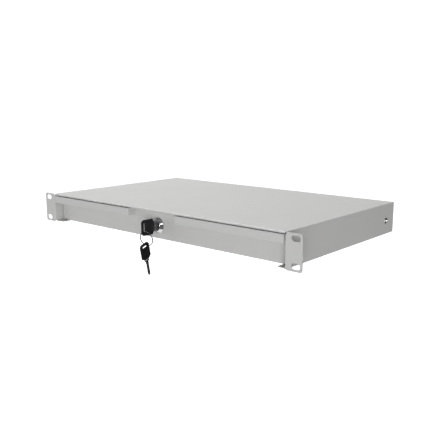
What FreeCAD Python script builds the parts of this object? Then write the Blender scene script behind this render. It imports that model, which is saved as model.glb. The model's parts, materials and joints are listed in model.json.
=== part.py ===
import FreeCAD, Part
import math
import os
import re
import Sketcher
from FreeCAD import Matrix, Placement, Rotation, Vector

# 1U lockable sliding drawer for a 19-inch rack.
# Row frame: X to the right, Y to the back, Z up, millimetres.
# Origin: the centre of the four rack-ear slots, on the front face of the ears.
# Y = 0 is the front face of the ears and of the drawer's pull lip.  The 1U space
# runs from Z = -22.225 to Z = +22.225.

doc = FreeCAD.newDocument("rack_drawer")

DIMS = [
    # folded housing
    ("case_half", 219.27), ("case_depth", 270.8), ("case_top", 21.975), ("case_low", -21.725),
    ("gauge", 1.2), ("hem_deep", 9.0), ("hem_low", 19.575), ("hem_half", 216.6),
    ("flange_wide", 14.0), ("flange_front", 3.0), ("flange_nose", 5.2),
    ("ear_half", 241.3), ("ear_low", -21.925), ("ear_top", 21.875), ("ear_round", 3.0),
    ("slot_mid", 232.55), ("slot_low", -15.875), ("slot_high", 15.875), ("slot_rad", 3.5), ("slot_long", 12.0),
    ("bend_round", 1.4),
    # rear panel, buffers and lock catch
    ("tab_deep", 6.6), ("buffer_rad", 5.0), ("buffer_long", 5.2), ("buffer_off", 150.0),
    ("catch_half", 14.0), ("catch_front", 15.5), ("catch_back", 32.6), ("catch_low", 14.275),
    # ball slides
    ("axis_high", -1.625), ("rail_front", 17.0), ("rail_back", 262.0),
    ("outer_half", 17.5), ("outer_in", 207.2), ("mid_web", 215.9), ("mid_half", 13.1), ("mid_in", 207.6), ("mid_gauge", 1.0),
    ("inner_web", 205.3), ("inner_half", 8.9), ("inner_out", 213.4), ("inner_gauge", 1.0),
    ("ball_rad", 1.55), ("ball_mid", 211.5), ("ball_outer", 14.7), ("ball_inner", 10.5), ("ball_first", 86.0), ("ball_pitch", 18.0),
    ("cage_front", 75.0), ("cage_back", 205.0), ("cage_gauge", 0.8), ("cage_web", 0.4), ("cage_in", 208.6),
    ("cage_outer_x", 216.6), ("cage_inner_x", 214.4), ("cage_hole", 1.5),
    # screws
    ("screw_front", 24.0), ("screw_back", 245.6), ("screw_rad", 1.95), ("screw_hole", 2.1), ("head_rad", 4.2), ("head_high", 2.4),
    ("tray_head_rad", 3.6), ("tray_head_high", 1.8), ("tray_screw_front", 60.0), ("tray_screw_back", 200.0),
    # drawer
    ("front_half", 216.2), ("front_face", 14.7), ("front_low", -20.225), ("front_top", 18.575), ("lip_low", 7.975), ("cut_half", 45.0),
    ("return_deep", 12.0), ("tray_half", 205.3), ("tray_back", 264.1), ("tray_top", 13.775), ("tray_gauge", 1.0), ("tray_hem", 6.0),
    ("stud_off", 150.0), ("stud_low", -9.725), ("stud_high", 6.775), ("stud_rad", 1.5), ("stud_long", 5.4), ("nut_high", 2.4), ("nut_rad", 3.175),
    # lock
    ("lock_face", 9.0), ("lock_nose", 8.5), ("lock_flare", 11.15), ("lock_shoulder", 13.6), ("barrel_rad", 8.0), ("barrel_back", 33.2),
    ("bore_rad", 6.2), ("plug_rad", 6.13), ("plug_back", 33.4), ("tail_half", 3.0), ("tail_back", 35.3),
    ("way_half_x", 1.1), ("way_half_z", 3.0), ("way_back", 28.8),
    ("washer_rad", 11.4), ("washer_gauge", 0.8), ("locknut_rad", 12.7), ("locknut_high", 4.0),
    ("cam_reach", 20.0), ("cam_half", 7.0), ("cam_tip", 4.6), ("cam_gauge", 2.0),
    # key (local frame: width along Y, length down -Z, thickness along X)
    ("bow_half", 10.6), ("bow_long", 21.9), ("bow_shoulder", 18.9), ("bow_neck", 5.5), ("bow_nick", 3.2), ("bow_thick", 2.4),
    ("slot_half", 6.5), ("slot_near", 3.15), ("slot_far", 5.75), ("pad_half", 7.6), ("pad_near", 8.6), ("pad_far", 18.6), ("pad_sink", 0.35),
    ("collar_half", 4.3), ("collar_end", 24.7), ("collar_thick", 3.0), ("blade_half", 2.2), ("blade_end", 44.4), ("blade_thick", 2.0),
    ("key_out", 15.8),
    # ring
    ("ring_rad", 9.7), ("wire_rad", 0.6),
]
sheet = doc.addObject("Spreadsheet::Sheet", "Dims")
V = {}
for row, (word, value) in enumerate(DIMS, start=1):
    sheet.set("A%d" % row, word)
    sheet.set("B%d" % row, repr(float(value)))
    sheet.setAlias("B%d" % row, word)
    V[word] = float(value)
doc.recompute()

WORDS = re.compile(r"\b(" + "|".join(sorted(V, key=len, reverse=True)) + r")\b")


def expr(text):
    return WORDS.sub(r"Dims.\1", text)


def bind(obj, prop, value):
    """Bind a property to an expression of the sheet, or set a plain number."""
    if isinstance(value, str):
        obj.setExpression(prop, expr(value))
    else:
        obj.setExpression(prop, repr(float(value)))


def seat(obj, x, y, z, rot=None):
    if rot is not None:
        obj.Placement = Placement(Vector(0, 0, 0), rot)
    bind(obj, "Placement.Base.x", x)
    bind(obj, "Placement.Base.y", y)
    bind(obj, "Placement.Base.z", z)


def box(x0, x1, y0, y1, z0, z1):
    o = doc.addObject("Part::Box", "box")
    bind(o, "Length", "(%s) - (%s)" % (x1, x0))
    bind(o, "Width", "(%s) - (%s)" % (y1, y0))
    bind(o, "Height", "(%s) - (%s)" % (z1, z0))
    seat(o, "(%s) + 0" % x0, "(%s) + 0" % y0, "(%s) + 0" % z0)
    return o


def side_box(side, x0, x1, y0, y1, z0, z1):
    """A box given for the right side; side -1 puts it at the mirror place."""
    if side > 0:
        return box(x0, x1, y0, y1, z0, z1)
    return box("0 - (%s)" % x1, "0 - (%s)" % x0, y0, y1, z0, z1)


TURN = {"x": Rotation(Vector(0, 1, 0), 90), "y": Rotation(Vector(1, 0, 0), -90), "z": Rotation()}


def rod(axis, radius, start, end, u, v):
    """A cylinder along an axis; u and v are its centre on the other two axes, in X, Y, Z order."""
    o = doc.addObject("Part::Cylinder", "rod")
    bind(o, "Radius", radius)
    bind(o, "Height", "(%s) - (%s)" % (end, start))
    place = {"x": (start, u, v), "y": (u, start, v), "z": (u, v, start)}[axis]
    seat(o, *["(%s) + 0" % p for p in place], rot=TURN[axis])
    return o


def fuse(parts, label=None, refine=True):
    o = doc.addObject("Part::MultiFuse", "fuse")
    o.Shapes = parts
    o.Refine = refine
    if label:
        o.Label = label
    return o


def group(parts, label):
    """Identical separate solids that share one sub-part."""
    o = doc.addObject("Part::Compound", "set")
    o.Links = parts
    o.Label = label
    return o


def cut(base, tools, label=None):
    o = doc.addObject("Part::Cut", "cut")
    o.Base = base
    o.Tool = tools[0] if len(tools) == 1 else fuse(tools)
    o.Refine = True
    if label:
        o.Label = label
    return o


def near(a, b, tol=0.02):
    return abs(a - b) < tol


def fillet(base, rules, label=None):
    """rules: (test(edge, bounding box), radius expression); each fillet keeps its radius from the sheet."""
    doc.recompute()
    o = doc.addObject("Part::Fillet", "fillet")
    o.Base = base
    edges = []
    for i, e in enumerate(base.Shape.Edges, start=1):
        for test, radius in rules:
            if test(e.BoundBox, e):
                r = V[radius] if isinstance(radius, str) else radius
                edges.append((i, r, r))
                break
    if not edges:
        raise RuntimeError("no edge chosen for a fillet of " + base.Label)
    o.Edges = edges
    if label:
        o.Label = label
    doc.recompute()
    if o.Shape.isNull() or not o.Shape.isValid():
        raise RuntimeError("fillet failed on " + base.Label)
    return o


def plane_of(body, role):
    for f in body.Origin.OriginFeatures:
        if f.Role == role:
            return f
    raise RuntimeError("no plane " + role)


def new_body(label):
    b = doc.addObject("PartDesign::Body", "Body")
    b.Label = label
    return b


def outline(body, role, points, offset=0.0):
    """A closed straight-sided sketch whose corners are dimensioned from the origin."""
    sk = body.newObject("Sketcher::SketchObject", "Sketch")
    sk.AttachmentSupport = [(plane_of(body, role), "")]
    sk.MapMode = "FlatFace"
    sk.AttachmentOffset = Placement(Vector(0, 0, offset), Rotation())

    def number(value):
        if not isinstance(value, str):
            return float(value)
        return float(eval_words(value))

    xy = [(number(a), number(b)) for a, b in points]
    n = len(xy)
    for i in range(n):
        a, b = xy[i], xy[(i + 1) % n]
        sk.addGeometry(Part.LineSegment(Vector(a[0], a[1], 0), Vector(b[0], b[1], 0)), False)
    for i in range(n):
        sk.addConstraint(Sketcher.Constraint("Coincident", i, 2, (i + 1) % n, 1))
    for i in range(n):
        for k, kind in ((0, "DistanceX"), (1, "DistanceY")):
            c = sk.addConstraint(Sketcher.Constraint(kind, -1, 1, i, 1, xy[i][k]))
            if isinstance(points[i][k], str):
                name = "%s%d" % ("xy"[k], i)
                sk.renameConstraint(c, name)
                sk.setExpression("Constraints." + name, expr(points[i][k]))
    return sk


def eval_words(text):
    """The number an expression of the sheet stands for: sums, differences and products of its words."""
    total = 0.0
    text = text.replace(" ", "")
    for sign, term in re.findall(r"([+-]?)([^+-]+)", text):
        value = 1.0
        for op, factor in re.findall(r"([*/]?)([^*/]+)", term):
            number = V[factor] if factor in V else float(factor)
            value = value / number if op == "/" else value * number
        total += -value if sign == "-" else value
    return total


def pad(body, sk, length, mid=False, back=False):
    f = body.newObject("PartDesign::Pad", "Pad")
    f.Profile = sk
    bind(f, "Length", length)
    if mid:
        f.Midplane = True
    f.Reversed = back
    doc.recompute()
    return f


def pocket(body, sk, length, mid=False, back=False, through=False):
    before = body.Shape.Volume
    f = body.newObject("PartDesign::Pocket", "Pocket")
    f.Profile = sk
    if through:
        f.Type = 1
    bind(f, "Length", length)
    if mid:
        f.Midplane = True
    f.Reversed = back
    doc.recompute()
    if not body.Shape.Volume < before - 1e-3:
        raise RuntimeError("a pocket in %s cuts nothing" % body.Label)
    return f


def along_y(e, x, z, tol=0.02):
    """Test for a straight edge along Y at a given X and Z."""
    return near(e.XMin, x, tol) and near(e.XMax, x, tol) and near(e.ZMin, z, tol) and near(e.ZMax, z, tol) and e.YLength > 1


NODES = {}


def keep(obj, label):
    obj.Label = label
    NODES[label] = obj
    return obj


# ---------------------------------------------------------------- housing
parts = [
    box("-case_half", "case_half", "0", "case_depth", "case_top - gauge", "case_top"),
    box("-hem_half", "hem_half", "0", "hem_deep", "hem_low", "case_top - gauge"),
]
for side in (-1, 1):
    parts.append(side_box(side, "case_half - gauge", "case_half", "0", "case_depth", "case_low", "case_top"))
    parts.append(side_box(side, "case_half - gauge", "ear_half", "0", "gauge", "ear_low", "ear_top"))
    # bottom flange with a chamfered front corner
    b = new_body("bottom_flange_" + ("right" if side > 0 else "left"))
    m = "" if side > 0 else "-"
    sk = outline(b, "XY_Plane", [
        (m + "case_half", "flange_front"), (m + "case_half", "case_depth"),
        ("case_half - flange_wide" if side > 0 else "flange_wide - case_half", "case_depth"),
        ("case_half - flange_wide" if side > 0 else "flange_wide - case_half", "flange_nose")])
    pad(b, sk, "gauge")
    seat(b, "0", "0", "case_low")
    parts.append(b)
shell = fuse(parts)
tools = []
for side in (-1, 1):
    # slots of the rack ears
    for zed in ("slot_low", "slot_high"):
        mid = "slot_mid" if side > 0 else "0 - slot_mid"
        tools.append(box(mid + " - slot_long / 2 + slot_rad", mid + " + slot_long / 2 - slot_rad", "-1", "gauge + 1",
                         zed + " - slot_rad", zed + " + slot_rad"))
        for s in ("-", "+"):
            tools.append(rod("y", "slot_rad", "-1", "gauge + 1",
                             mid + (" - slot_long / 2 + slot_rad" if s == "-" else " + slot_long / 2 - slot_rad"), zed))
    # corner reliefs where the ear, the side and the top or bottom flange meet
    tools.append(side_box(side, "case_half - 1.9", "case_half + 0.8", "-1", "2.2", "case_top - 2.3", "case_top + 1"))
    tools.append(side_box(side, "case_half - 1.9", "case_half + 0.8", "-1", "flange_front", "case_low - 1.5", "case_low + 1.5"))
    # holes for the slide screws
    for y in ("screw_front", "screw_back"):
        tools.append(rod("x", "screw_hole", "case_half - 3" if side > 0 else "0 - case_half - 1", "case_half + 1" if side > 0 else "3 - case_half", y, "axis_high"))
shell = cut(shell, tools)
half, inner = V["case_half"], V["case_half"] - V["gauge"]
shell = fillet(shell, [
    (lambda b, e: b.YLength > 200 and near(abs(b.XMin), half) and near(b.XMin, b.XMax) and (near(b.ZMin, V["case_top"]) or near(b.ZMax, V["case_low"])), "bend_round"),
    (lambda b, e: b.ZLength > 30 and near(b.YMax, 0) and near(abs(b.XMin), inner) and near(b.XMin, b.XMax), 1.1),
    (lambda b, e: b.ZLength > 30 and near(b.YMin, V["gauge"]) and near(b.YMax, V["gauge"]) and near(abs(b.XMin), half) and near(b.XMin, b.XMax), 0.8),
    (lambda b, e: b.YLength > 0.5 and near(b.XMin, b.XMax) and near(b.ZMin, b.ZMax) and near(abs(b.XMin), V["ear_half"]), "ear_round"),
    (lambda b, e: b.XLength > 400 and near(b.YMax, 0) and near(b.ZMin, V["case_top"]), 1.0),
    (lambda b, e: b.XLength > 400 and near(b.YMax, 0) and near(b.ZMin, V["hem_low"]) and near(b.ZMax, V["hem_low"]), 1.0),
])
keep(shell, "housing_shell")

rear = fuse([
    box("gauge - case_half", "case_half - gauge", "case_depth - gauge", "case_depth", "case_low + gauge + 0.1", "case_top - gauge")] + [
    side_box(s, "case_half - 2 * gauge", "case_half - gauge", "case_depth - gauge - tab_deep", "case_depth - gauge", "case_low + 4", "case_top - 6")
    for s in (-1, 1)])
keep(rear, "rear_panel")

buffers = []
for s in ("-buffer_off", "buffer_off"):
    r = rod("y", "buffer_rad", "case_depth - gauge - buffer_long", "case_depth - gauge", s, "axis_high")
    buffers.append(fillet(r, [(lambda b, e: near(b.YMax, V["case_depth"] - V["gauge"] - V["buffer_long"]), 1.2)]))
keep(group(buffers, "rear_buffers"), "rear_buffers")

# lock catch: an angle under the top; its leg hangs just in front of the turned-up cam
b = new_body("lock_catch")
sk = outline(b, "YZ_Plane", [
    ("catch_front", "case_top - gauge - gauge"), ("catch_back - gauge", "case_top - gauge - gauge"), ("catch_back - gauge", "catch_low"),
    ("catch_back", "catch_low"), ("catch_back", "case_top - gauge"), ("catch_front", "case_top - gauge")])
pad(b, sk, "2 * catch_half", mid=True)
keep(b, "lock_catch")


# ---------------------------------------------------------------- ball slides
def channel(side, web0, web1, tip, half_high, thick, lips=None):
    """A rolled channel: web between web0 and web1, flanges out to tip, half_high above and below the axis."""
    ps = [side_box(side, web0, web1, "rail_front", "rail_back", "axis_high - %s" % half_high, "axis_high + %s" % half_high)]
    lo, hi = (tip, web0) if V_of(tip) < V_of(web0) else (web1, tip)
    ps.append(side_box(side, lo, hi, "rail_front", "rail_back", "axis_high + %s - %s" % (half_high, thick), "axis_high + %s" % half_high))
    ps.append(side_box(side, lo, hi, "rail_front", "rail_back", "axis_high - %s" % half_high, "axis_high - %s + %s" % (half_high, thick)))
    if lips:
        ps.append(side_box(side, tip, "%s + %s" % (tip, thick), "rail_front", "rail_back", "axis_high + %s - %s - %s" % (half_high, thick, lips), "axis_high + %s" % half_high))
        ps.append(side_box(side, tip, "%s + %s" % (tip, thick), "rail_front", "rail_back", "axis_high - %s" % half_high, "axis_high - %s + %s + %s" % (half_high, thick, lips)))
    return fuse(ps)


def V_of(text):
    return eval_words(text)


def end_rounds(obj, side, x, half_high, radius):
    """Round the two long outer bends of a channel."""
    zs = (V["axis_high"] - V[half_high], V["axis_high"] + V[half_high])
    return fillet(obj, [(lambda b, e: b.YLength > 200 and near(b.XMin, side * x) and near(b.XMax, side * x) and (near(b.ZMin, zs[0]) and near(b.ZMax, zs[0]) or near(b.ZMin, zs[1]) and near(b.ZMax, zs[1])), radius)])


SIDES = ((-1, "left"), (1, "right"))
for side, word in SIDES:
    outer = channel(side, "case_half - 2 * gauge", "case_half - gauge", "outer_in", "outer_half", "gauge", lips="0.9")
    outer = end_rounds(outer, side, V["case_half"] - V["gauge"], "outer_half", 1.0)
    holes = [rod("x", "screw_rad + 0.05", "case_half - 4" if side > 0 else "0 - case_half", "case_half" if side > 0 else "4 - case_half", y, "axis_high") for y in ("screw_front", "screw_back")]
    keep(cut(outer, holes), "slide_outer_" + word)

    middle = channel(side, "mid_web - mid_gauge", "mid_web", "mid_in", "mid_half", "mid_gauge")
    keep(end_rounds(middle, side, V["mid_web"], "mid_half", 0.8), "slide_middle_" + word)

    innr = channel(side, "inner_web", "inner_web + inner_gauge", "inner_out", "inner_half", "inner_gauge")
    innr = end_rounds(innr, side, V["inner_web"], "inner_half", 0.8)
    holes = [rod("x", "screw_rad + 0.05", "inner_web - 1" if side > 0 else "0 - inner_web - 3", "inner_web + 3" if side > 0 else "1 - inner_web", y, "axis_high") for y in ("tray_screw_front", "tray_screw_back")]
    keep(cut(innr, holes), "slide_inner_" + word)

    for row_name, row, cage_x in (("outer", "ball_outer", "cage_outer_x"), ("inner", "ball_inner", "cage_inner_x")):
        cage = [side_box(side, cage_x + " - cage_web", cage_x, "cage_front", "cage_back",
                         "axis_high - %s - cage_gauge / 2" % row, "axis_high + %s + cage_gauge / 2" % row)]
        for sgn in ("-", "+"):
            cage.append(side_box(side, "cage_in", cage_x, "cage_front", "cage_back",
                                 "axis_high %s %s - cage_gauge / 2" % (sgn, row), "axis_high %s %s + cage_gauge / 2" % (sgn, row)))
        cage = fuse(cage)
        holes, balls = [], []
        for sgn in ("-", "+"):
            for i in range(7):
                y = "ball_first + %d * ball_pitch" % i
                x = "ball_mid" if side > 0 else "0 - ball_mid"
                holes.append(rod("z", "cage_hole", "axis_high %s %s - 1" % (sgn, row), "axis_high %s %s + 1" % (sgn, row), x, y))
                ball = doc.addObject("Part::Sphere", "ball")
                bind(ball, "Radius", "ball_rad")
                seat(ball, x, y, "axis_high %s %s" % (sgn, row))
                balls.append(ball)
        keep(cut(cage, holes), "%s_retainer_%s" % (row_name, word))
        keep(group(balls, "%s_balls_%s" % (row_name, word)), "%s_balls_%s" % (row_name, word))


# ---------------------------------------------------------------- cross-recess screws along X
def screw(side, head_from, out, shank_to, head_r, head_h, y, z, cross):
    """Pan-head screw along X. out is +1 when the head's top faces +X; head_from is the face the head sits on."""
    hx = "(%s)" % head_from
    end = "%s %s %s" % (hx, "+" if out > 0 else "-", head_h)
    head = rod("x", head_r, hx if out > 0 else end, end if out > 0 else hx, y, z)
    top = (V_at(head_from) + out * V_at(head_h))
    head = fillet(head, [(lambda b, e: near(b.XMin, top) and near(b.XMax, top), 1.1)])
    shank = rod("x", "screw_rad", shank_to if out > 0 else hx, hx if out > 0 else shank_to, y, z)
    s = fuse([head, shank])
    depth = 1.3
    lo, hi = (end + " - %s" % depth, end + " + 1") if out > 0 else (end + " - 1", end + " + %s" % depth)
    t1 = box(lo, hi, "%s - %s" % (y, cross), "%s + %s" % (y, cross), "%s - 0.45" % z, "%s + 0.45" % z)
    t2 = box(lo, hi, "%s - 0.45" % y, "%s + 0.45" % y, "%s - %s" % (z, cross), "%s + %s" % (z, cross))
    return cut(s, [t1, t2])


def V_at(text):
    text = text.strip()
    if text.startswith("0 - "):
        return -V_at(text[4:].strip("() "))
    return eval_words(text)


screws = []
for side in (-1, 1):
    for y in ("screw_front", "screw_back"):
        face = "case_half" if side > 0 else "0 - case_half"
        tip = "case_half - 2 * gauge + 0.05" if side > 0 else "0 - (case_half - 2 * gauge + 0.05)"
        screws.append(screw(side, face, side, tip, "head_rad", "head_high", y, "axis_high", 2.5))
keep(group(screws, "slide_screws"), "slide_screws")

screws = []
for side in (-1, 1):
    for y in ("tray_screw_front", "tray_screw_back"):
        face = "tray_half - tray_gauge" if side > 0 else "0 - (tray_half - tray_gauge)"
        tip = "inner_web + inner_gauge" if side > 0 else "0 - (inner_web + inner_gauge)"
        screws.append(screw(side, face, -side, tip, "tray_head_rad", "tray_head_high", y, "axis_high", 2.1))
keep(group(screws, "tray_screws"), "tray_screws")

# ---------------------------------------------------------------- drawer front
front = fuse([
    box("-front_half", "front_half", "front_face", "front_face + gauge", "front_low", "front_top"),
    box("-front_half", "front_half", "0", "front_face + gauge", "front_top - gauge", "front_top"),
    box("-front_half", "front_half", "0", "gauge", "lip_low", "front_top"),
    box("2 - tray_half", "tray_half - 2", "front_face", "front_face + gauge + return_deep", "front_low", "front_low + gauge"),
])
front = cut(front, [
    box("-cut_half", "cut_half", "-1", "front_face", "lip_low - 5", "front_top + 5"),
    rod("y", "barrel_rad + 0.1", "front_face - 1", "front_face + gauge + 1", "0", "axis_high"),
])
# folded tabs close the lip's two inner ends, at the cut-out
front = fuse([front] + [side_box(s, "cut_half", "cut_half + gauge", "0", "front_face + 0.2", "lip_low", "front_top") for s in (-1, 1)])
front = fillet(front, [
    (lambda b, e: near(abs(b.XMin), V["cut_half"]) and near(b.XMin, b.XMax) and near(b.YMin, 0) and near(b.YMax, 0) and b.ZLength > 5, 0.9),
    (lambda b, e: b.XLength > 100 and near(b.YMin, 0) and near(b.YMax, 0) and near(b.ZMin, V["front_top"]), "bend_round"),
    (lambda b, e: b.XLength > 400 and near(b.YMin, V["front_face"] + V["gauge"]) and near(b.YMax, V["front_face"] + V["gauge"]) and near(b.ZMin, V["front_top"]), 1.1),
    (lambda b, e: b.XLength > 380 and near(b.YMin, V["front_face"]) and near(b.YMax, V["front_face"]) and near(b.ZMax, V["front_low"]), 1.0),
    (lambda b, e: near(b.XMin, b.XMax) and abs(b.XMin) > 200 and near(b.ZMin, V["lip_low"]) and near(b.ZMax, V["lip_low"]) and b.YLength > 0.5, 1.5),
])
keep(front, "drawer_front")

studs = []
nuts = []
for x in ("0 - stud_off", "stud_off"):
    for z in ("stud_low", "stud_high"):
        studs.append(rod("y", "stud_rad", "front_face + gauge", "front_face + gauge + stud_long", x, z))
        b = new_body("nut")
        k = 0.8660254
        sk = outline(b, "XZ_Plane", [("nut_rad", "0"), ("nut_rad * 0.5", "nut_rad * %s" % k), ("-nut_rad * 0.5", "nut_rad * %s" % k),
                                     ("-nut_rad", "0"), ("-nut_rad * 0.5", "-nut_rad * %s" % k), ("nut_rad * 0.5", "-nut_rad * %s" % k)])
        pad(b, sk, "nut_high", back=True)
        seat(b, x, "front_face + gauge + tray_gauge", z)
        nuts.append(cut(b, [rod("y", "stud_rad + 0.05", "front_face", "front_face + 10", x, z)]))
keep(group(studs, "front_studs"), "front_studs")
keep(group(nuts, "front_nuts"), "front_nuts")

# ---------------------------------------------------------------- drawer tray
wall0 = "front_face + gauge"
tray = fuse([
    box("-tray_half", "tray_half", wall0 + " + tray_gauge", "tray_back - tray_gauge", "front_low + gauge", "front_low + gauge + tray_gauge")] + [
    side_box(s, "tray_half - tray_gauge", "tray_half", wall0 + " + tray_gauge", "tray_back - tray_gauge", "front_low + gauge", "tray_top") for s in (-1, 1)] + [
    side_box(s, "tray_half - 2 * tray_gauge", "tray_half", wall0 + " + 8", "tray_back - 2 * tray_gauge", "tray_top - tray_hem", "tray_top") for s in (-1, 1)])
tools = []
for side in (-1, 1):
    for y in ("tray_screw_front", "tray_screw_back"):
        tools.append(rod("x", "screw_hole", "tray_half - 4" if side > 0 else "0 - tray_half - 1", "tray_half + 1" if side > 0 else "4 - tray_half", y, "axis_high"))
tray = cut(tray, tools)
tray = fillet(tray, [
    (lambda b, e: b.YLength > 200 and near(abs(b.XMin), V["tray_half"]) and near(b.XMin, b.XMax) and near(b.ZMin, V["front_low"] + V["gauge"]) and near(b.ZMax, b.ZMin), 1.0),
])
keep(tray, "drawer_tray")

# Front and back walls, welded across the ends of the folded sheet.
wall_low = "front_low + gauge"
wall = box("-tray_half", "tray_half", wall0, wall0 + " + tray_gauge", wall_low, "tray_top")
tools = [rod("y", "barrel_rad + 0.1", wall0 + " - 1", wall0 + " + 4", "0", "axis_high")]
for x in ("0 - stud_off", "stud_off"):
    for z in ("stud_low", "stud_high"):
        tools.append(rod("y", "stud_rad + 0.1", wall0 + " - 1", wall0 + " + 4", x, z))
keep(cut(wall, tools), "tray_front")
keep(fuse([
    box("-tray_half", "tray_half", "tray_back - tray_gauge", "tray_back", wall_low, "tray_top"),
    box("tray_gauge - tray_half", "tray_half - tray_gauge", "tray_back - 2 * tray_gauge", "tray_back", "tray_top - tray_hem", "tray_top")]), "tray_back")

# ---------------------------------------------------------------- lock
# Housing turned about the lock axis: conical head, then the barrel through the panel.
b = new_body("lock_housing")
sk = outline(b, "XY_Plane", [
    ("bore_rad", "lock_face"), ("lock_nose - 0.5", "lock_face"), ("lock_nose", "lock_face + 0.5"),
    ("lock_flare - 0.3", "lock_shoulder - 0.2"), ("lock_flare", "lock_shoulder + 0.2"), ("lock_flare", "front_face"),
    ("barrel_rad", "front_face"), ("barrel_rad", "barrel_back"), ("bore_rad", "barrel_back")])
rev = b.newObject("PartDesign::Revolution", "Revolution")
rev.Profile = sk
rev.ReferenceAxis = (sk, ["V_Axis"])
rev.Angle = 360.0
doc.recompute()
seat(b, "0", "0", "axis_high")
keep(b, "lock_housing")

washer = cut(rod("y", "washer_rad", wall0 + " + tray_gauge", wall0 + " + tray_gauge + washer_gauge", "0", "axis_high"),
             [rod("y", "barrel_rad + 0.1", wall0, wall0 + " + 6", "0", "axis_high")])
keep(washer, "lock_washer")

b = new_body("lock_nut_blank")
k = 0.8660254
sk = outline(b, "XZ_Plane", [("locknut_rad", "0"), ("locknut_rad * 0.5", "locknut_rad * %s" % k), ("-locknut_rad * 0.5", "locknut_rad * %s" % k),
                             ("-locknut_rad", "0"), ("-locknut_rad * 0.5", "-locknut_rad * %s" % k), ("locknut_rad * 0.5", "-locknut_rad * %s" % k)])
pad(b, sk, "locknut_high", back=True)
seat(b, "0", wall0 + " + tray_gauge + washer_gauge", "axis_high")
keep(cut(b, [rod("y", "barrel_rad + 0.05", wall0, wall0 + " + 9", "0", "axis_high")]), "lock_nut")

plug = fuse([
    rod("y", "plug_rad", "lock_face + 0.1", "plug_back", "0", "axis_high"),
    box("-tail_half", "tail_half", "plug_back - 1", "tail_back", "axis_high - tail_half", "axis_high + tail_half")])
plug = cut(plug, [
    box("-way_half_x", "way_half_x", "lock_face - 1", "way_back", "axis_high - way_half_z", "axis_high + way_half_z"),
    rod("y", "1.5", "way_back + 1.2", "tail_back + 1", "0", "axis_high")])
keep(plug, "lock_plug")

# Cam: rests sideways (unlocked) and turns a quarter up behind the catch.
b = new_body("lock_cam")
pts = []
for deg in range(60, 301, 20):
    pts.append(("cam_half * %.6f" % math.cos(math.radians(deg)), "cam_half * %.6f" % math.sin(math.radians(deg))))
pts += [("cam_reach - 1.6", "-cam_tip"), ("cam_reach - 0.4", "-cam_tip + 2.2"), ("cam_reach", "0"), ("cam_reach - 0.4", "cam_tip - 2.2"), ("cam_reach - 1.6", "cam_tip")]
sk = outline(b, "XZ_Plane", pts)
pad(b, sk, "cam_gauge", back=True)
sk = outline(b, "XZ_Plane", [("-tail_half - 0.05", "-tail_half - 0.05"), ("tail_half + 0.05", "-tail_half - 0.05"), ("tail_half + 0.05", "tail_half + 0.05"), ("-tail_half - 0.05", "tail_half + 0.05")])
pocket(b, sk, "2 * cam_gauge + 2", mid=True)
seat(b, "0", "plug_back", "axis_high")
keep(b, "lock_cam")

keep(cut(rod("y", "5", "plug_back + cam_gauge", "plug_back + cam_gauge + 0.8", "0", "axis_high"),
         [rod("y", "1.6", "plug_back", "plug_back + 5", "0", "axis_high")]), "cam_washer")
head = rod("y", "3.2", "plug_back + cam_gauge + 0.8", "plug_back + cam_gauge + 3.0", "0", "axis_high")
head = fillet(head, [(lambda b, e: near(b.YMin, V["plug_back"] + V["cam_gauge"] + 3.0), 0.9)])
cs = fuse([head, rod("y", "1.48", "way_back + 1.4", "plug_back + cam_gauge + 0.9", "0", "axis_high")])
cs = cut(cs, [
    box("-1.9", "1.9", "plug_back + cam_gauge + 2.0", "plug_back + cam_gauge + 4", "axis_high - 0.35", "axis_high + 0.35"),
    box("-0.35", "0.35", "plug_back + cam_gauge + 2.0", "plug_back + cam_gauge + 4", "axis_high - 1.9", "axis_high + 1.9")])
keep(cs, "cam_screw")


# ---------------------------------------------------------------- keys
def key_bow(label):
    b = new_body(label)
    sk = outline(b, "YZ_Plane", [
        ("-bow_half + bow_nick", "0"), ("bow_half - bow_nick", "0"), ("bow_half", "-bow_nick"), ("bow_half", "-bow_shoulder"),
        ("bow_neck", "-bow_long"), ("-bow_neck", "-bow_long"), ("-bow_half", "-bow_shoulder"), ("-bow_half", "-bow_nick")])
    pad(b, sk, "bow_thick", mid=True)
    sk = outline(b, "YZ_Plane", [("-slot_half", "-slot_near"), ("slot_half", "-slot_near"), ("slot_half", "-slot_far"), ("-slot_half", "-slot_far")])
    pocket(b, sk, "bow_thick + 2", mid=True)
    # a shallow sunk panel on each broad face leaves a raised rim
    for s in (-1, 1):
        off = s * (V["bow_thick"] / 2 - V["pad_sink"])
        sk = outline(b, "YZ_Plane", [("-pad_half", "-pad_near"), ("pad_half", "-pad_near"), ("pad_half", "-pad_far"), ("-pad_half", "-pad_far")], offset=off)
        before = b.Shape.Volume
        f = b.newObject("PartDesign::Pocket", "Pocket")
        f.Profile = sk
        f.Length = 2.0
        f.Reversed = s > 0
        doc.recompute()
        if before - b.Shape.Volume > 1.5 * V["pad_sink"] * 4 * V["pad_half"] * (V["pad_far"] - V["pad_near"]) / 2 or before - b.Shape.Volume < 1:
            f.Reversed = not f.Reversed
            doc.recompute()
        lost = before - b.Shape.Volume
        want = V["pad_sink"] * 2 * V["pad_half"] * (V["pad_far"] - V["pad_near"])
        if abs(lost - want) > 1:
            raise RuntimeError("sunk panel of %s is %.2f, not %.2f" % (label, lost, want))
    # soften the outline
    fl = b.newObject("PartDesign::Fillet", "Fillet")
    half = V["bow_thick"] / 2
    names = []
    for i, e in enumerate(f.Shape.Edges, start=1):
        bb = e.BoundBox
        if bb.XLength > half and bb.YLength < 0.01 and bb.ZLength < 0.01:
            y, z = bb.YMin, bb.ZMin
            if abs(y) > V["slot_half"] + 0.5 or z < -V["bow_shoulder"] + 0.5:
                names.append("Edge%d" % i)
    fl.Base = (f, names)
    fl.Radius = 1.3
    doc.recompute()
    return b


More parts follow.
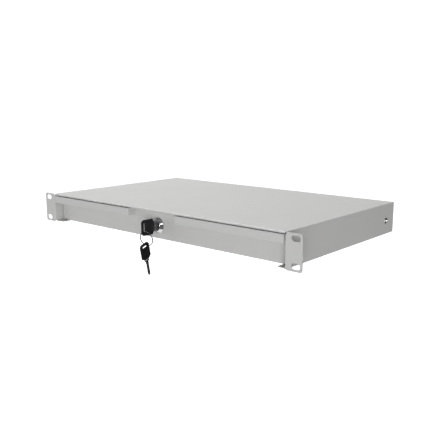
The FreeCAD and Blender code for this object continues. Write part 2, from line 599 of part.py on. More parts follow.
def key_blade(label):
    b = new_body(label)
    sk = outline(b, "YZ_Plane", [("-collar_half", "-bow_long"), ("-collar_half", "-collar_end"), ("collar_half", "-collar_end"), ("collar_half", "-bow_long")])
    pad(b, sk, "collar_thick", mid=True)
    pts = [("-blade_half", "-collar_end + 1")]
    cuts = [(28.4, 0.0), (29.3, 0.6), (30.5, 0.6), (31.4, 0.1), (32.6, 0.4), (33.8, 0.4), (34.8, 0.0), (35.9, 0.7), (37.1, 0.7), (38.2, 0.1)]
    for a, dpt in cuts:
        pts.append(("-blade_half + %s" % dpt, "-%s" % a))
    pts += [("-blade_half + 0.2", "-blade_end + 2.6"), ("-0.9", "-blade_end"), ("0.9", "-blade_end"), ("blade_half - 0.2", "-blade_end + 2.6")]
    for a, dpt in reversed(cuts):
        pts.append(("blade_half - %s" % (dpt * 0.8), "-%s" % (a + 0.5)))
    pts.append(("blade_half", "-collar_end + 1"))
    sk = outline(b, "YZ_Plane", pts)
    pad(b, sk, "blade_thick", mid=True)
    return b


bow = key_bow("key_bow")
seat(bow, "0", "0 - key_out", "axis_high", rot=Rotation(Vector(1, 0, 0), 90))
keep(bow, "key_bow")
blade = key_blade("key_blade")
seat(blade, "0", "0 - key_out", "axis_high", rot=Rotation(Vector(1, 0, 0), 90))
keep(blade, "key_blade")

# The ring hangs in the slot of the inserted key; the spare key hangs on the ring.
ring = doc.addObject("Part::Torus", "ring")
bind(ring, "Radius1", "ring_rad")
bind(ring, "Radius2", "wire_rad")
seat(ring, 1.7668, -9.2212, -16.3808, rot=Rotation(Vector(0, 0, 1), Vector(-0.2234, 0.9533, 0.2032)))
keep(ring, "key_ring")

down = Vector(0.0427, 0.1540, -0.9871).normalize()
across = Vector(-0.3048, 0.9430, 0.1339)
across = (across - down * across.dot(down)).normalize()
flat = across.cross(down * -1).normalize()
turn = Rotation(flat, across, down * -1, "ZXY")
for make, label in ((key_bow, "spare_key_bow"), (key_blade, "spare_key_blade")):
    b = make(label)
    seat(b, 1.3124, -13.4712, -22.2980, rot=turn)
    keep(b, label)

# ---------------------------------------------------------------- check and write
doc.recompute()
bad = []
for o in doc.Objects:
    if any(w in str(s) for s in o.State for w in ("Invalid", "Error")):
        bad.append("%s (%s): %s" % (o.Name, o.Label, o.State))
for label, o in NODES.items():
    s = o.Shape
    if s.isNull() or not s.isValid() or not s.Solids:
        bad.append("shape of " + label)
if bad:
    raise RuntimeError("\n".join(bad))
os.makedirs("parts", exist_ok=True)
for label, o in NODES.items():
    if o.Label != label:
        raise RuntimeError("label %s became %s" % (label, o.Label))
    o.Shape.exportStep("parts/%s.step" % label)
    bb = o.Shape.BoundBox
    print("%-22s solids %2d  X %8.2f %8.2f  Y %8.2f %8.2f  Z %7.2f %7.2f  vol %.1f" % (
        label, len(o.Shape.Solids), bb.XMin, bb.XMax, bb.YMin, bb.YMax, bb.ZMin, bb.ZMax, o.Shape.Volume))
print(len(NODES), "nodes")
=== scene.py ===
import json
import math

import bmesh
import bpy
from mathutils import Matrix, Vector


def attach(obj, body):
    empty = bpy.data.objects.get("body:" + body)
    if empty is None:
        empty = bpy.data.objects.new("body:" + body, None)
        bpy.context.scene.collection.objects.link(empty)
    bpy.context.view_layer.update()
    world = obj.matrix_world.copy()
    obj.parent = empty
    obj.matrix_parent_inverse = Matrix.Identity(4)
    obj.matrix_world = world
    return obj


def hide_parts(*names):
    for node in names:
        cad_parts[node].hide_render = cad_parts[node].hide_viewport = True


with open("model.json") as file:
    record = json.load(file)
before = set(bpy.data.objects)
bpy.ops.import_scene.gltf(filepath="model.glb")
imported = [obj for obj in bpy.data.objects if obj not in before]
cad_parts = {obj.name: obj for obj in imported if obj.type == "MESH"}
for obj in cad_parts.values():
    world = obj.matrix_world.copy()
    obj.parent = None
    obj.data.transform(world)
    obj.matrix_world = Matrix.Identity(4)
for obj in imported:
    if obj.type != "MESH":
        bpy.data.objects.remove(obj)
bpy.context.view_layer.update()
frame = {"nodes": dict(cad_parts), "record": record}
nodes = frame["nodes"]
scene = bpy.context.scene
MM = 0.001


# ---------------------------------------------------------------- material helpers
class Mat:
    """A material with a Principled shader and short calls for adding nodes."""

    def __init__(self, name, color, metallic=0.0, roughness=0.5, ior=1.5, specular=0.5):
        self.m = bpy.data.materials.new(name)
        self.m.use_nodes = True
        self.t = self.m.node_tree
        self.p = self.t.nodes["Principled BSDF"]
        self.p.inputs["Base Color"].default_value = (*color, 1)
        self.p.inputs["Metallic"].default_value = metallic
        self.p.inputs["Roughness"].default_value = roughness
        self.p.inputs["IOR"].default_value = ior
        self.p.inputs["Specular IOR Level"].default_value = specular
        self.at = self.t.nodes.new("ShaderNodeTexCoord").outputs["Object"]

    def link(self, a, b):
        self.t.links.new(a, b)

    def mapped(self, scale=(1, 1, 1), rot=(0, 0, 0)):
        n = self.t.nodes.new("ShaderNodeMapping")
        n.inputs["Scale"].default_value = scale
        n.inputs["Rotation"].default_value = rot
        self.link(self.at, n.inputs["Vector"])
        return n.outputs["Vector"]

    def noise(self, scale, detail=3.0, rough=0.55, at=None, distort=0.0):
        n = self.t.nodes.new("ShaderNodeTexNoise")
        n.inputs["Scale"].default_value = scale
        n.inputs["Detail"].default_value = detail
        n.inputs["Roughness"].default_value = rough
        n.inputs["Distortion"].default_value = distort
        self.link(at or self.at, n.inputs["Vector"])
        return n.outputs["Fac"]

    def voronoi(self, scale, at=None, feature="F1"):
        n = self.t.nodes.new("ShaderNodeTexVoronoi")
        n.feature = feature
        n.inputs["Scale"].default_value = scale
        self.link(at or self.at, n.inputs["Vector"])
        return n.outputs["Distance"]

    def ramp(self, fac, *stops):
        n = self.t.nodes.new("ShaderNodeValToRGB")
        e = n.color_ramp.elements
        while len(e) < len(stops):
            e.new(0.5)
        for k, (pos, c) in zip(e, stops):
            k.position = pos
            k.color = (*c, 1) if hasattr(c, "__len__") else (c, c, c, 1)
        self.link(fac, n.inputs["Fac"])
        return n.outputs["Color"]

    def span(self, fac, lo, hi, a=0.0, b=1.0):
        n = self.t.nodes.new("ShaderNodeMapRange")
        n.inputs["From Min"].default_value = a
        n.inputs["From Max"].default_value = b
        n.inputs["To Min"].default_value = lo
        n.inputs["To Max"].default_value = hi
        self.link(fac, n.inputs["Value"])
        return n.outputs["Result"]

    def mix(self, fac, a, b, kind="MIX"):
        n = self.t.nodes.new("ShaderNodeMix")
        n.data_type = "RGBA"
        n.blend_type = kind
        for s, v in ((n.inputs["Factor"], fac), (n.inputs["A"] if False else n.inputs[6], a), (n.inputs[7], b)):
            if hasattr(v, "is_linked"):
                self.link(v, s)
            else:
                s.default_value = (*v, 1) if hasattr(v, "__len__") else v
        return n.outputs[2]

    def math(self, op, a, b=None):
        n = self.t.nodes.new("ShaderNodeMath")
        n.operation = op
        for s, v in zip(n.inputs, (a, b)):
            if v is None:
                continue
            if hasattr(v, "is_linked"):
                self.link(v, s)
            else:
                s.default_value = v
        return n.outputs[0]

    def bump(self, height, strength, distance, under=None):
        n = self.t.nodes.new("ShaderNodeBump")
        n.inputs["Strength"].default_value = strength
        n.inputs["Distance"].default_value = distance
        self.link(height, n.inputs["Height"])
        if under is not None:
            self.link(under, n.inputs["Normal"])
        return n.outputs["Normal"]

    def edge(self, radius):
        """(normal rounded at the edges, 0..1 mask that is 1 at an edge)"""
        bev = self.t.nodes.new("ShaderNodeBevel")
        bev.samples = 4
        bev.inputs["Radius"].default_value = radius
        geo = self.t.nodes.new("ShaderNodeNewGeometry")
        dot = self.t.nodes.new("ShaderNodeVectorMath")
        dot.operation = "DOT_PRODUCT"
        self.link(bev.outputs["Normal"], dot.inputs[0])
        self.link(geo.outputs["Normal"], dot.inputs[1])
        return bev.outputs["Normal"], self.span(dot.outputs["Value"], 1.0, 0.0, 0.72, 0.995)

    def color(self, s):
        self.link(s, self.p.inputs["Base Color"])

    def roughness(self, s):
        self.link(s, self.p.inputs["Roughness"])

    def normal(self, s):
        self.link(s, self.p.inputs["Normal"])


# ---------------------------------------------------------------- materials
def painted():
    m = Mat("painted_sheet_satin", (0.5, 0.5, 0.5), roughness=0.42, specular=0.42)
    round_n, edge = m.edge(0.0005)
    slow = m.noise(9.0, 2.0)
    fleck = m.noise(2600.0, 2.0, 0.6)
    base = m.ramp(slow, (0.3, (0.499, 0.4975, 0.4915)), (0.7, (0.511, 0.5095, 0.5035)))
    base = m.mix(m.span(fleck, 0.0, 0.10, 0.35, 0.75), base, (0.60, 0.598, 0.588))
    worn = m.math("MULTIPLY", edge, m.span(m.noise(220.0, 4.0, 0.65), 0.0, 1.0, 0.42, 0.62))
    base = m.mix(m.math("MULTIPLY", worn, 0.35), base, (0.62, 0.62, 0.61))
    m.color(base)
    m.roughness(m.math("ADD", m.span(m.noise(60.0, 3.0), 0.405, 0.455, 0.3, 0.7), m.math("MULTIPLY", worn, -0.08)))
    peel = m.noise(750.0, 2.0, 0.45)
    fine = m.noise(3200.0, 1.0, 0.4)
    n = m.bump(peel, 0.22, 0.00010, round_n)
    m.normal(m.bump(fine, 0.16, 0.00004, n))
    return m.m


def zinc():
    m = Mat("zinc_plate_bright", (0.6, 0.61, 0.62), metallic=1.0, roughness=0.3)
    round_n, edge = m.edge(0.0003)
    cloud = m.noise(45.0, 4.0, 0.6)
    spang = m.voronoi(260.0)
    c = m.ramp(cloud, (0.30, (0.50, 0.515, 0.53)), (0.52, (0.60, 0.605, 0.61)), (0.72, (0.655, 0.645, 0.615)))
    c = m.mix(m.span(spang, 0.0, 0.16, 0.2, 0.9), c, (0.70, 0.71, 0.72))
    c = m.mix(m.math("MULTIPLY", edge, 0.45), c, (0.75, 0.755, 0.76))
    m.color(c)
    roll = m.noise(60.0, 3.0, 0.6, at=m.mapped((22, 1, 22)))
    m.roughness(m.span(roll, 0.22, 0.40, 0.3, 0.7))
    m.normal(m.bump(roll, 0.10, 0.00005, round_n))
    return m.m


def steel(name, lo, hi, rough, scale, streak=(1, 18, 18), radius=0.0002, strength=0.08):
    m = Mat(name, hi, metallic=1.0, roughness=rough)
    round_n, edge = m.edge(radius)
    lines = m.noise(scale, 3.0, 0.6, at=m.mapped(streak))
    c = m.ramp(m.noise(scale * 0.35, 3.0), (0.3, lo), (0.7, hi))
    c = m.mix(m.math("MULTIPLY", edge, 0.4), c, tuple(min(1.0, v * 1.25) for v in hi))
    m.color(c)
    m.roughness(m.span(lines, rough * 0.75, rough * 1.3, 0.3, 0.7))
    m.normal(m.bump(lines, strength, 0.00003, round_n))
    return m.m


def rubber():
    m = Mat("rubber_black_soft", (0.03, 0.03, 0.03), roughness=0.8, specular=0.35)
    round_n, edge = m.edge(0.0004)
    c = m.ramp(m.noise(300.0, 4.0), (0.3, (0.018, 0.018, 0.018)), (0.75, (0.045, 0.044, 0.043)))
    m.color(m.mix(m.math("MULTIPLY", edge, 0.5), c, (0.08, 0.078, 0.076)))
    m.roughness(m.span(m.noise(500.0, 2.0), 0.68, 0.9, 0.3, 0.7))
    m.normal(m.bump(m.noise(2200.0, 2.0), 0.3, 0.00008, round_n))
    return m.m


def plastic():
    m = Mat("key_plastic_black", (0.006, 0.006, 0.006), roughness=0.38, specular=0.16)
    round_n, edge = m.edge(0.00025)
    c = m.ramp(m.noise(420.0, 4.0), (0.3, (0.0075, 0.0075, 0.0078)), (0.75, (0.013, 0.013, 0.0133)))
    m.color(m.mix(m.math("MULTIPLY", edge, 0.5), c, (0.02, 0.02, 0.0205)))
    m.roughness(m.span(m.noise(900.0, 3.0), 0.30, 0.46, 0.3, 0.7))
    m.normal(m.bump(m.noise(4200.0, 2.0, 0.5), 0.35, 0.00003, round_n))
    return m.m


FINISH = {
    "painted_sheet": painted(),
    "zinc_plate": zinc(),
    "cage_steel": steel("cage_steel_strip", (0.34, 0.335, 0.33), (0.46, 0.455, 0.45), 0.34, 90.0, (18, 1, 18)),
    "ball_steel": steel("ball_steel_polished", (0.66, 0.66, 0.67), (0.78, 0.78, 0.79), 0.10, 900.0, (1, 1, 1), strength=0.02),
    "screw_nickel": steel("screw_nickel_plate", (0.56, 0.56, 0.55), (0.72, 0.72, 0.71), 0.24, 600.0, (1, 1, 1), radius=0.0003),
    "lock_chrome": steel("lock_chrome_bright", (0.62, 0.62, 0.63), (0.74, 0.74, 0.75), 0.10, 500.0, (1, 14, 1), radius=0.0002, strength=0.04),
    "lock_plug_metal": steel("lock_plug_satin", (0.24, 0.24, 0.24), (0.34, 0.34, 0.34), 0.32, 700.0, (1, 1, 1), radius=0.0002),
    "rubber_black": rubber(),
    "key_plastic": plastic(),
    # The silver nickel of the key blades, collars and bands is given a near-black colour: a painted dark reflection.
    "key_nickel": steel("key_blade_painted_dark_reflection", (0.10, 0.10, 0.10), (0.18, 0.18, 0.18), 0.30, 700.0, (6, 6, 1), radius=0.00015),
    "ring_steel": steel("ring_steel_wire", (0.10, 0.10, 0.103), (0.18, 0.18, 0.184), 0.24, 900.0, (1, 1, 1), radius=0.0001),
}


def paint(obj, mat):
    obj.data.materials.clear()
    obj.data.materials.append(mat)


slots = {s["node"]: s["material_slot"] for s in frame["record"]["subparts"]}
for name, node in nodes.items():
    paint(node, FINISH[slots[name]])

# ---------------------------------------------------------------- mesh helpers (millimetres)
AXIS = -1.625


def finish(obj, body, slot, stands_for, angle=32.0, weighted=True):
    """Scale to metres, set smooth and sharp edges, paint, and hang the piece on its body."""
    me = obj.data
    bm = bmesh.new()
    bm.from_mesh(me)
    bmesh.ops.remove_doubles(bm, verts=bm.verts, dist=1e-4)
    bmesh.ops.dissolve_degenerate(bm, edges=bm.edges, dist=1e-4)
    bmesh.ops.recalc_face_normals(bm, faces=bm.faces)
    bm.to_mesh(me)
    bm.free()
    me.transform(Matrix.Scale(MM, 4))
    me.shade_smooth()
    me.set_sharp_from_angle(angle=math.radians(angle))
    if weighted:
        w = obj.modifiers.new("even_normals", "WEIGHTED_NORMAL")
        w.keep_sharp = True
    paint(obj, FINISH[slot])
    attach(obj, body)
    if stands_for:
        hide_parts(stands_for)
    return obj


def mesh_piece(name, verts, faces):
    me = bpy.data.meshes.new(name)
    me.from_pydata(verts, [], faces)
    me.update()
    obj = bpy.data.objects.new(name, me)
    scene.collection.objects.link(obj)
    return obj


def rounded(points, radius, steps=5):
    """A closed outline with its corners turned into arcs; radius is one number or one per corner."""
    out = []
    n = len(points)
    for i in range(n):
        r = radius[i] if hasattr(radius, "__len__") else radius
        p, a, b = Vector(points[i]), Vector(points[i - 1]), Vector(points[(i + 1) % n])
        if r <= 0:
            out.append(tuple(p))
            continue
        u, v = (a - p).normalized(), (b - p).normalized()
        half = u.angle(v) / 2
        d = min(r / math.tan(half), 0.49 * (a - p).length, 0.49 * (b - p).length)
        c = p + (u + v).normalized() * (d / math.cos(half))
        s, e = p + u * d - c, p + v * d - c
        whole = math.atan2(s.x * e.y - s.y * e.x, s.dot(e))
        for k in range(steps + 1):
            t = whole * k / steps
            out.append((c.x + s.x * math.cos(t) - s.y * math.sin(t), c.y + s.x * math.sin(t) + s.y * math.cos(t)))
    return out


def solid_from_curve(name, curve):
    o = bpy.data.objects.new(name + "_line", curve)
    scene.collection.objects.link(o)
    bpy.context.view_layer.update()
    deps = bpy.context.evaluated_depsgraph_get()
    me = bpy.data.meshes.new_from_object(o.evaluated_get(deps))
    bpy.data.objects.remove(o)
    bpy.data.curves.remove(curve)
    me.name = name
    bm = bmesh.new()
    bm.from_mesh(me)
    bmesh.ops.remove_doubles(bm, verts=bm.verts, dist=2e-4)
    bmesh.ops.recalc_face_normals(bm, faces=bm.faces)
    bm.to_mesh(me)
    bm.free()
    obj = bpy.data.objects.new(name, me)
    scene.collection.objects.link(obj)
    return obj


def plate(name, loops, thick, soft, res=3):
    """A flat solid from closed outlines (the others are holes), with rounded rims; it lies about the local w = 0 plane."""
    cu = bpy.data.curves.new(name, "CURVE")
    cu.dimensions = "2D"
    cu.fill_mode = "BOTH"
    cu.extrude = thick / 2 - soft
    cu.bevel_depth = soft
    cu.bevel_resolution = res
    cu.offset = -soft
    for loop in loops:
        sp = cu.splines.new("POLY")
        sp.points.add(len(loop) - 1)
        for q, (u, v) in zip(sp.points, loop):
            q.co = (u, v, 0, 1)
        sp.use_cyclic_u = True
    return solid_from_curve(name, cu)


def combine(a, b, op):
    """a joined with, or cut by, b; b is used up."""
    mod = a.modifiers.new("cut", "BOOLEAN")
    mod.operation = op
    mod.object = b
    mod.solver = "EXACT"
    bpy.context.view_layer.update()
    deps = bpy.context.evaluated_depsgraph_get()
    me = bpy.data.meshes.new_from_object(a.evaluated_get(deps))
    a.modifiers.clear()
    old = a.data
    a.data = me
    bpy.data.meshes.remove(old)
    bpy.data.objects.remove(b)
    return a


def turned(name, profile, segs=72, twist=None):
    """A closed profile of (radius, y) turned about the Y axis."""
    n = len(profile)
    verts, faces = [], []
    for i in range(segs):
        t = 2 * math.pi * i / segs
        for j, (r, y) in enumerate(profile):
            if twist:
                r = twist(j, r, y, t)
            verts.append((r * math.cos(t), y, r * math.sin(t)))
    for i in range(segs):
        k = (i + 1) % segs
        for j in range(n):
            m = (j + 1) % n
            faces.append((i * n + j, i * n + m, k * n + m, k * n + j))
    return mesh_piece(name, verts, faces)


def capped(name, profile, segs=48):
    """An open profile of (radius, y) whose two ends are closed by flat caps."""
    n = len(profile)
    verts, faces = [], []
    for i in range(segs):
        t = 2 * math.pi * i / segs
        verts += [(r * math.cos(t), y, r * math.sin(t)) for r, y in profile]
    for i in range(segs):
        k = (i + 1) % segs
        for j in range(n - 1):
            faces.append((i * n + j, i * n + j + 1, k * n + j + 1, k * n + j))
    faces.append([i * n for i in range(segs)])
    faces.append([i * n + n - 1 for i in reversed(range(segs))])
    return mesh_piece(name, verts, faces)


def arc(cx, cy, r, a0, a1, steps):
    return [(cx + r * math.cos(math.radians(a0 + (a1 - a0) * k / steps)), cy + r * math.sin(math.radians(a0 + (a1 - a0) * k / steps))) for k in range(steps + 1)]


# ---------------------------------------------------------------- keys
# Key frame: u across the bow, v along the key (0 at the bow's end, down to the tip), w through it.
def bow_shape(name):
    outer = rounded([(-7.8, 0), (7.8, 0), (10.6, -2.8), (10.6, -18.9), (5.5, -21.9), (-5.5, -21.9), (-10.6, -18.9), (-10.6, -2.8)], 0.6, 5)
    slot = rounded([(-6.2, -3.2), (6.2, -3.2), (6.2, -5.8), (-6.2, -5.8)], 0.6, 4)
    o = plate(name, [outer, slot], 2.4, 0.4, 3)
    for s in (-1, 1):
        pad = plate("sunk", [rounded([(-7.6, -8.2), (7.6, -8.2), (7.6, -17.2), (4.6, -18.9), (-4.6, -18.9), (-7.6, -17.2)], 1.3, 5)], 1.0, 0.3, 2)
        pad.data.transform(Matrix.Translation((0, 0, s * (1.2 - 0.35 + 0.5))))
        combine(o, pad, "DIFFERENCE")
    return o


def blade_shape(name):
    """Collar with a bevelled shoulder, then the cut blade with a milled groove in each face."""
    prof = [(4.35, -21.9), (4.35, -24.3), (4.05, -24.75), (-4.05, -24.75), (-4.35, -24.3), (-4.35, -21.9)]
    collar = plate(name, [rounded(prof, [0.35, 0.3, 0.3, 0.3, 0.3, 0.35], 3)], 2.5, 0.22, 2)
    cuts = [(28.4, 0.0), (29.3, 0.6), (30.5, 0.6), (31.4, 0.1), (32.6, 0.4), (33.8, 0.4), (34.8, 0.0), (35.9, 0.7), (37.1, 0.7), (38.2, 0.1)]
    pts = [(-2.2, -24.0)] + [(-2.2 + d, -a) for a, d in cuts] + [(-2.0, -41.8), (-0.9, -44.4), (0.9, -44.4), (2.0, -41.8)]
    pts += [(2.2 - d * 0.8, -a - 0.5) for a, d in reversed(cuts)] + [(2.2, -24.0)]
    blade = plate("blade", [rounded(pts, 0.25, 2)], 2.0, 0.18, 2)
    for s in (-1, 1):
        g = plate("groove", [rounded([(s * 0.2 - 0.55, -25.2), (s * 0.2 + 0.55, -25.2), (s * 0.2 + 0.55, -42.6), (s * 0.2 - 0.55, -42.6)], 0.5, 4)], 1.2, 0.25, 2)
        g.data.transform(Matrix.Translation((0, 0, s * (1.0 + 0.6 - 0.42))))
        combine(blade, g, "DIFFERENCE")
    return combine(collar, blade, "UNION")


def key_frame(origin, across, flat, up):
    """(u, v, w) of the key frame to the part's X, Y, Z."""
    m = Matrix.Identity(4)
    for r in range(3):
        m[r][0], m[r][1], m[r][2], m[r][3] = across[r], up[r], flat[r], origin[r]
    return m


# The spare key's neck band gets a near-white copy of the metal: a painted highlight where its collar catches the
# light. The inserted key's band keeps the dark nickel.
neck_painted_highlight = steel("key_neck_painted_highlight", (0.92, 0.92, 0.91), (0.97, 0.97, 0.96), 0.6, 500.0, (1, 1, 1), radius=0.0002)
neck_painted_highlight.node_tree.nodes["Principled BSDF"].inputs["Metallic"].default_value = 0.25
inserted = key_frame(Vector((0, -15.8, AXIS)), Vector((0, 0, 1)), Vector((1, 0, 0)), Vector((0, -1, 0)))
down = Vector((0.0427, 0.1540, -0.9871)).normalized()
across = Vector((-0.3048, 0.9430, 0.1339))
across = (across - down * across.dot(down)).normalized()
hanging = key_frame(Vector((1.3124, -13.4712, -22.2980)), across, across.cross(-down).normalized(), -down)
for place, tag, body in ((inserted, "", "key"), (hanging, "spare_", "spare_key")):
    for make, part, slot in ((bow_shape, "key_bow", "key_plastic"), (blade_shape, "key_blade", "key_nickel")):
        o = make(tag + part + "_moulded" if part == "key_bow" else tag + part + "_milled")
        o.data.transform(place)
        finish(o, body, slot, tag + part)
    band = plate(tag + "key_neck_band", [rounded([(4.5, -21.88), (4.5, -22.6), (-4.5, -22.6), (-4.5, -21.88)], 0.25, 3)], 2.9, 0.2, 2)
    band.data.transform(place)
    finish(band, body, "key_nickel", None)
    # painted highlight: only the spare's band is made near-white
    if tag:
        paint(band, neck_painted_highlight)

# Split ring: two turns of spring wire side by side, with the two ends bent across.
ring_at, ring_way = Vector((1.7668, -9.2212, -16.3808)), Vector((-0.2234, 0.9533, 0.2032)).normalized()
e1 = ring_way.cross(Vector((0, 0, 1))).normalized()
e2 = ring_way.cross(e1).normalized()
turns, count, side = 2.0, 260, 14
start = math.radians(200)
verts, faces = [], []
for k in range(count + 1):
    f = k / count
    t = start + turns * 2 * math.pi * f
    step = min(1.0, max(0.0, (f - 0.46) / 0.08))
    off = -0.27 + 0.54 * (step * step * (3 - 2 * step))
    way = e1 * math.cos(t) + e2 * math.sin(t)
    for j in range(side):
        q = 2 * math.pi * j / side
        cq, sq = math.cos(q), math.sin(q)
        verts.append(tuple(ring_at + way * (9.7 + 0.52 * math.copysign(abs(cq) ** 0.6, cq)) + ring_way * (off + 0.26 * math.copysign(abs(sq) ** 0.6, sq))))
for k in range(count):
    for j in range(side):
        m = (j + 1) % side
        faces.append((k * side + j, k * side + m, (k + 1) * side + m, (k + 1) * side + j))
faces.append(list(range(side)))
faces.append([count * side + j for j in reversed(range(side))])
ring = mesh_piece("key_split_ring", verts, faces)
finish(ring, "ring", "ring_steel", "key_ring", angle=50.0, weighted=False)

# ---------------------------------------------------------------- lock head and barrel
head = [(6.2, 9.35), (6.35, 9.06), (6.55, 9.0), (7.75, 9.0)] + arc(7.75, 9.55, 0.55, -90, -28, 5) + [(8.9, 10.15), (10.70, 13.25)]
head += arc(10.35, 13.95, 0.78, -32, 0, 4)[1:] + [(11.15, 14.25), (11.15, 14.6), (11.05, 14.7), (8.0, 14.7), (8.0, 15.9)]
thread, pitch, deep = [], 1.0, 0.42
rows = int((33.0 - 15.9) / (pitch / 8))
for k in range(1, rows + 1):
    thread.append((8.0, 15.9 + (33.0 - 15.9) * k / rows))
profile = head + thread + [(7.8, 33.2), (6.4, 33.2), (6.2, 33.0)]
first, last = len(head), len(head) + len(thread) - 1


def helix(j, r, y, t):
    if not first <= j < last:
        return r
    wave = (y / pitch + t / (2 * math.pi)) % 1.0
    cut = deep * (1 - abs(2 * wave - 1))
    return 8.0 - cut * min(1.0, (y - 15.9) / 1.5, (33.0 - y) / 1.0)


o = turned("lock_head_and_barrel", profile, 96, helix)
o.data.transform(Matrix.Translation((0, 0, AXIS)))
finish(o, "drawer", "lock_chrome", "lock_housing", angle=28.0)

# hexagonal nut with its corners turned off
nut = plate("lock_hex_nut", [[(12.7 * math.cos(math.radians(60 * k)), 12.7 * math.sin(math.radians(60 * k))) for k in range(6)],
                             [(8.05 * math.cos(math.radians(7.5 * k)), 8.05 * math.sin(math.radians(7.5 * k))) for k in range(48)]], 4.0, 0.12, 1)
nut.data.transform(Matrix.Rotation(math.radians(90), 4, "X"))
cone = turned("cone", [(2.0, -3.0), (9.2, -3.0), (12.9, -1.35), (12.9, 1.35), (9.2, 3.0), (2.0, 3.0)], 96)
combine(nut, cone, "INTERSECT")
nut.data.transform(Matrix.Translation((0, 19.7, AXIS)))
finish(nut, "drawer", "lock_chrome", "lock_nut")

# ---------------------------------------------------------------- pan-head screws
def pan_screw(name, r, high, tip, cross):
    """Head on y 0..high, shank down to -tip, with a tapered cross recess."""
    rim = 0.28 * high
    prof = [(0.9, -tip), (1.95 if r > 4 else 1.5, -tip + 0.5), (1.95 if r > 4 else 1.5, 0.0), (r - 0.25, 0.0), (r, 0.25), (r, rim)]
    prof += [(r * math.cos(math.radians(a)) ** 0.8, rim + (high - rim) * math.sin(math.radians(a))) for a in (12, 24, 36, 48, 60, 72, 82)]
    o = capped(name, prof, 56)
    for ang in (0, 90):
        w0, w1, d = 0.30, 0.62, 0.72 * high
        y0, y1 = high - d, high + 0.6
        c0, c1 = cross * 0.45, cross * 1.06
        v = [(-c0, y0, -w0), (c0, y0, -w0), (c0, y0, w0), (-c0, y0, w0), (-c1, y1, -w1), (c1, y1, -w1), (c1, y1, w1), (-c1, y1, w1)]
        f = [(0, 1, 2, 3), (4, 7, 6, 5), (0, 4, 5, 1), (1, 5, 6, 2), (2, 6, 7, 3), (3, 7, 4, 0)]
        t = mesh_piece("recess", v, f)
        t.data.transform(Matrix.Rotation(math.radians(ang), 4, "Y"))
        bm = bmesh.new()
        bm.from_mesh(t.data)
        bmesh.ops.recalc_face_normals(bm, faces=bm.faces)
        bm.to_mesh(t.data)
        bm.free()
        combine(o, t, "DIFFERENCE")
    return o


def screw_row(name, body, node, face, out, ys, r, high, tip, cross, slot):
    """The node's screws at X = +-face, heads facing away from the middle (out = 1) or towards it (out = -1)."""
    parts = []
    for side in (-1, 1):
        for i, y in enumerate(ys):
            s = pan_screw("screw", r, high, tip, cross)
            s.data.transform(Matrix.Rotation(math.radians(17 + 41 * i + 23 * side), 4, "Y"))
            s.data.transform(Matrix.Rotation(math.radians(-90 * side * out), 4, "Z"))
            s.data.transform(Matrix.Translation((side * face, y, AXIS)))
            parts.append(s)
    base = parts[0]
    bm = bmesh.new()
    for s in parts:
        bm.from_mesh(s.data)
    me = bpy.data.meshes.new(name)
    bm.to_mesh(me)
    bm.free()
    for s in parts[1:]:
        bpy.data.objects.remove(s)
    base.data = me
    base.name = name
    return finish(base, body, slot, node, angle=35.0)


screw_row("slide_pan_screws", "housing", "slide_screws", 219.27, 1, (24.0, 245.6), 4.2, 2.4, 2.35, 2.5, "screw_nickel")
screw_row("tray_pan_screws", "drawer", "tray_screws", 204.3, -1, (60.0, 200.0), 3.6, 1.8, 2.0, 2.1, "screw_nickel")

# ---------------------------------------------------------------- camera
cam = bpy.data.objects.new("camera", bpy.data.cameras.new("camera"))
scene.collection.objects.link(cam)
scene.camera = cam
cam.data.lens = 50.0
cam.data.sensor_width = 36.0
cam.data.clip_start, cam.data.clip_end = 0.01, 60.0
az, el = math.radians(40.682), math.radians(10.922)
look = Vector((-math.sin(az) * math.cos(el), math.cos(az) * math.cos(el), -math.sin(el)))
cam.location = (0.594114, -0.548014, 0.162494)
cam.rotation_mode = "QUATERNION"
cam.rotation_quaternion = look.to_track_quat("-Z", "Y")

# ---------------------------------------------------------------- floor and light
# The camera sees a white studio; soft bounces and mirror-like bounces have levels of their own, so reflections show
# painted shade and a painted bright patch.
FLOOR_FILL, GLOSS_NEAR, GLOSS_FAR = 0.12, 1.0, 0.05
WORLD_FILL, WORLD_GLOSS = 0.15, 0.05
FLOOR = -0.45
mesh = bpy.data.meshes.new("floor")
s = 14.0
mesh.from_pydata([(-s, -s, FLOOR), (s, -s, FLOOR), (s, s, FLOOR), (-s, s, FLOOR)], [], [(0, 1, 2, 3)])
floor = bpy.data.objects.new("floor", mesh)
scene.collection.objects.link(floor)
fm = Mat("floor_white", (0.5, 0.5, 0.5), roughness=0.9, specular=0.1)
fl_path = fm.t.nodes.new("ShaderNodeLightPath").outputs["Is Glossy Ray"]
# painted reflection: to mirror-like rays the floor is near-black
fm.color(fm.mix(fl_path, fm.ramp(fm.noise(1.5, 2.0), (0.2, (0.39, 0.39, 0.39)), (0.8, (0.43, 0.43, 0.43))), (0.10, 0.10, 0.10)))
fm.p.inputs["Emission Color"].default_value = (1, 1, 1, 1)
ft = fm.t
path = ft.nodes.new("ShaderNodeLightPath")
far = ft.nodes.new("ShaderNodeVectorMath")
far.operation = "LENGTH"
ft.links.new(fm.mapped((1, 1, 0)), far.inputs[0])
# painted reflection: to mirror-like rays the floor glows bright just under the object and dim further out
painted_reflection_patch = fm.span(far.outputs["Value"], GLOSS_NEAR, GLOSS_FAR, 0.22, 0.42)
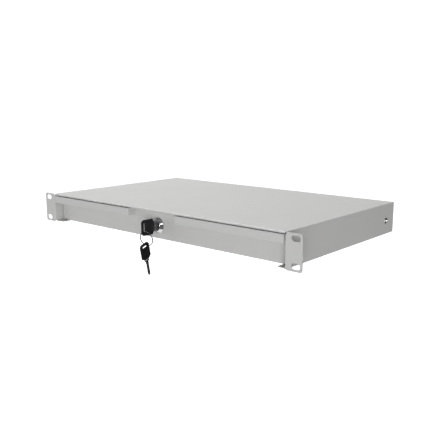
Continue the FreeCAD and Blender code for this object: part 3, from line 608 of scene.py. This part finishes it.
power = ft.nodes.new("ShaderNodeMix")
power.inputs[2].default_value = FLOOR_FILL
ft.links.new(path.outputs["Is Glossy Ray"], power.inputs[0])
ft.links.new(painted_reflection_patch, power.inputs[3])
power2 = ft.nodes.new("ShaderNodeMix")
ft.links.new(path.outputs["Is Camera Ray"], power2.inputs[0])
ft.links.new(power.outputs[0], power2.inputs[2])
power2.inputs[3].default_value = 1.05
ft.links.new(power2.outputs[0], fm.p.inputs["Emission Strength"])
paint(floor, fm.m)

world = bpy.data.worlds.new("studio")
scene.world = world
world.use_nodes = True
wt = world.node_tree
bg = wt.nodes["Background"]
bg.inputs["Color"].default_value = (1, 1, 1, 1)
path = wt.nodes.new("ShaderNodeLightPath")
level = wt.nodes.new("ShaderNodeMix")
# painted reflection: mirror-like rays see the world darker (WORLD_GLOSS) than the light it gives (WORLD_FILL)
level.inputs[2].default_value = WORLD_FILL
level.inputs[3].default_value = WORLD_GLOSS
wt.links.new(path.outputs["Is Glossy Ray"], level.inputs[0])
level2 = wt.nodes.new("ShaderNodeMix")
wt.links.new(path.outputs["Is Camera Ray"], level2.inputs[0])
wt.links.new(level.outputs[0], level2.inputs[2])
level2.inputs[3].default_value = 1.15
wt.links.new(level2.outputs[0], bg.inputs["Strength"])


def area(name, where, at, size, power, color=(1, 1, 1)):
    data = bpy.data.lights.new(name, "AREA")
    data.shape = "RECTANGLE"
    data.size, data.size_y = size
    data.energy = power
    data.color = color
    o = bpy.data.objects.new(name, data)
    scene.collection.objects.link(o)
    o.location = where
    o.rotation_mode = "QUATERNION"
    o.rotation_quaternion = (Vector(at) - Vector(where)).to_track_quat("-Z", "Y")
    return o


area("top_light", (-0.95, 0.45, 2.2), (0, 0.12, 0), (1.8, 1.8), 83.0)
area("right_front_light", (2.28, -2.88, 0.15), (0, 0.1, 0), (2.04, 1.2), 92.5)
area("left_front_light", (-2.0, -1.6, 0.15), (0, 0.1, 0), (2.0, 0.8), 9.5)
area("right_light", (2.0, -0.45, 0.75), (0, 0.1, 0), (0.8, 0.8), 4.0)

scene.view_settings.view_transform = "Standard"
scene.view_settings.look = "None"
